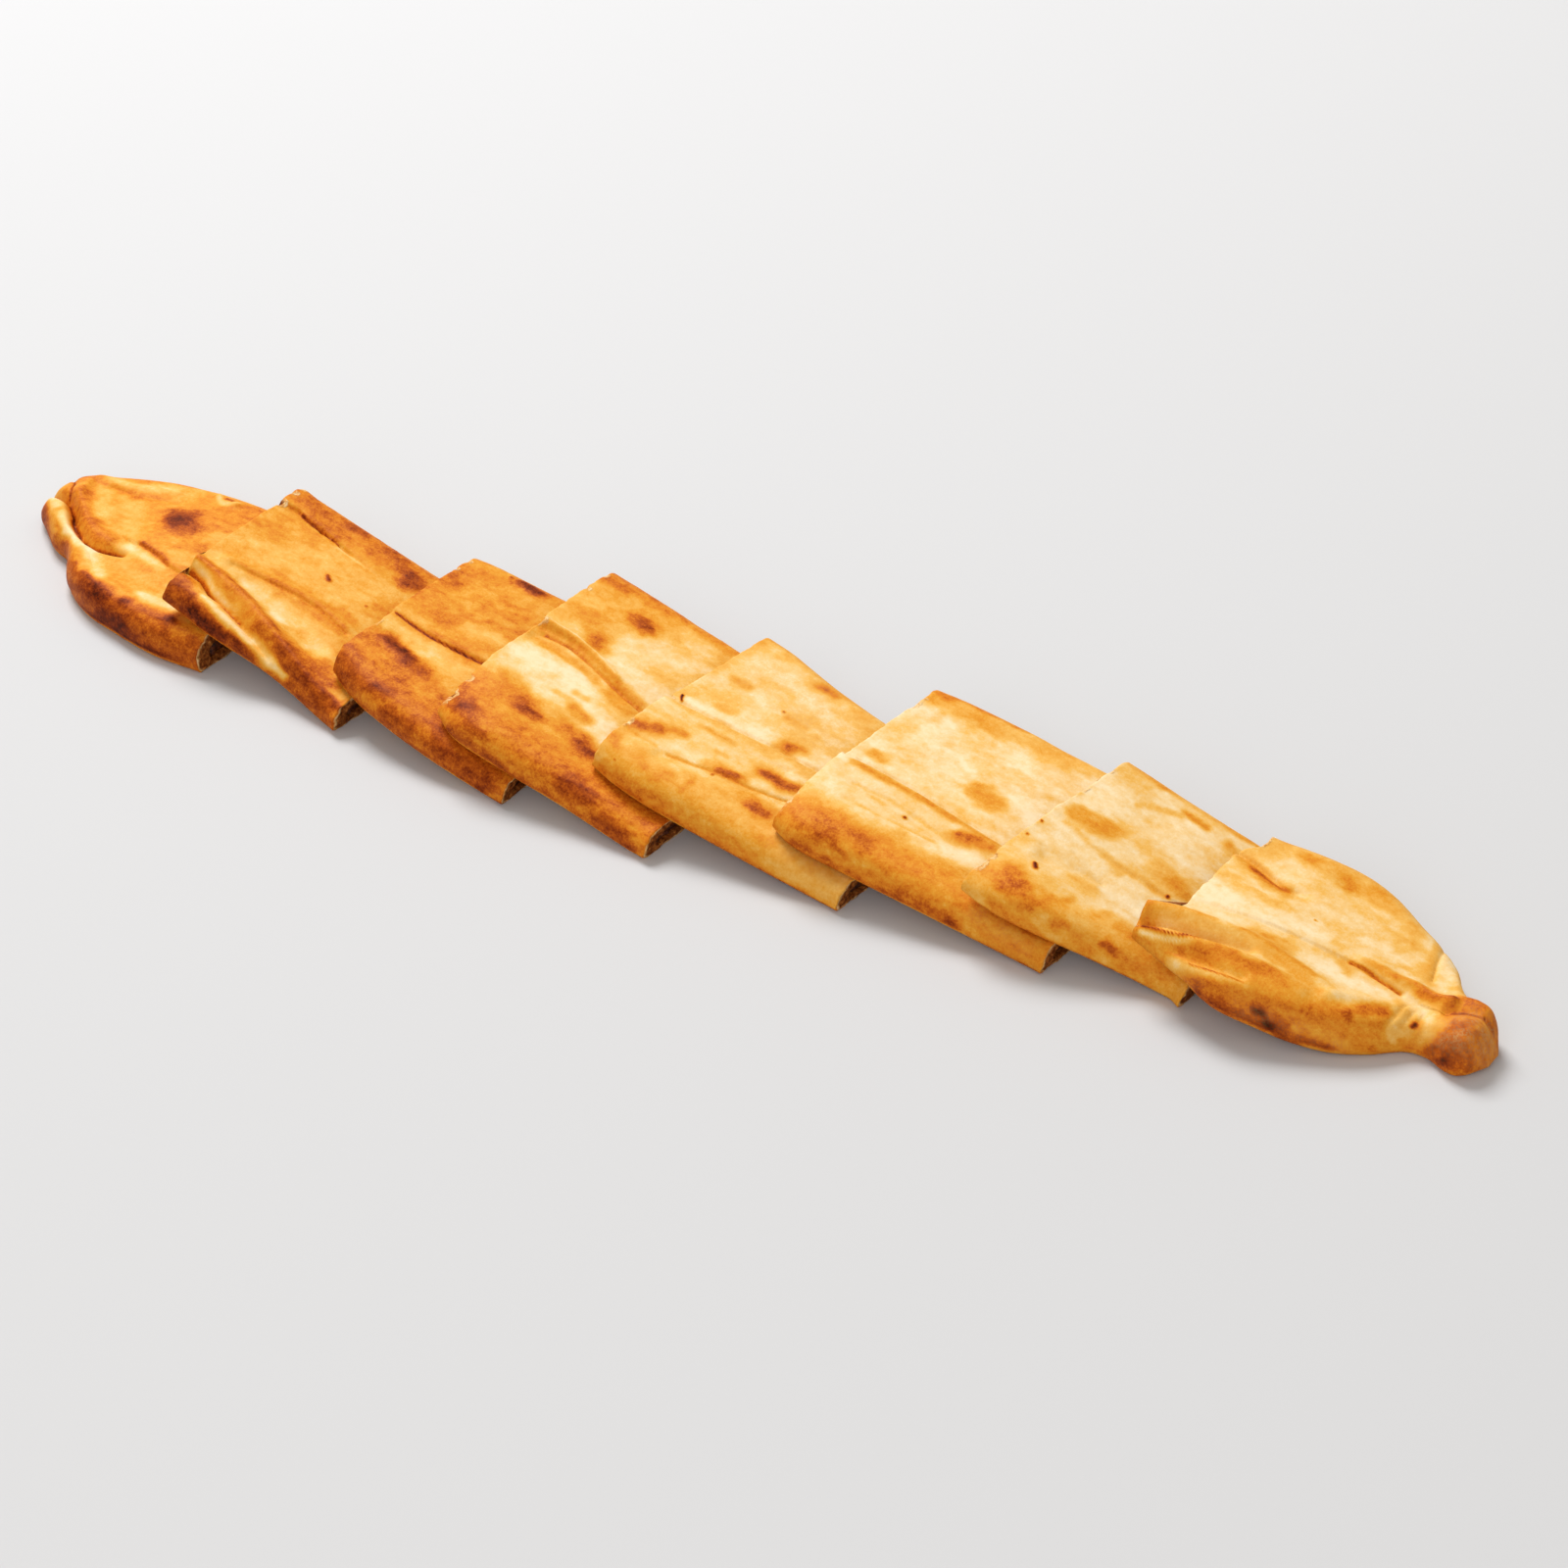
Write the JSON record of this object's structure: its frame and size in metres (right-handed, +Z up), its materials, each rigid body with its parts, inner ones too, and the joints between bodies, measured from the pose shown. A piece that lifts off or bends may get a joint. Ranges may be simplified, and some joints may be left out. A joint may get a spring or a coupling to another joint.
{
  "type": "sliced closed pide",
  "caption": "Long closed pide, a flat baked dough roll round a thin meat filling, cut across into shingled slices with pinched ends.",
  "frame": {"origin": "under the middle of the bread's bounding box, on the surface it lies on", "axes": "+X along the bread towards its knobbed end, +Y across it to the far side, +Z up"},
  "size_m": [0.6434, 0.1242, 0.0341],
  "materials": {
    "crust": "matte baked crust, cream to golden with brown spots, crumb at the cuts",
    "filling": "moist minced meat"
  },
  "bodies": {
    "root": {"end_left_crust": "crust", "end_left_filling": "filling", "slice_2_crust": "crust", "slice_2_filling": "filling", "slice_3_crust": "crust", "slice_3_filling": "filling", "slice_4_crust": "crust", "slice_4_filling": "filling", "slice_5_crust": "crust", "slice_5_filling": "filling", "slice_6_crust": "crust", "slice_6_filling": "filling", "slice_7_crust": "crust", "slice_7_filling": "filling", "end_right_crust": "crust", "end_right_filling": "filling"}
  },
  "joints": []
}
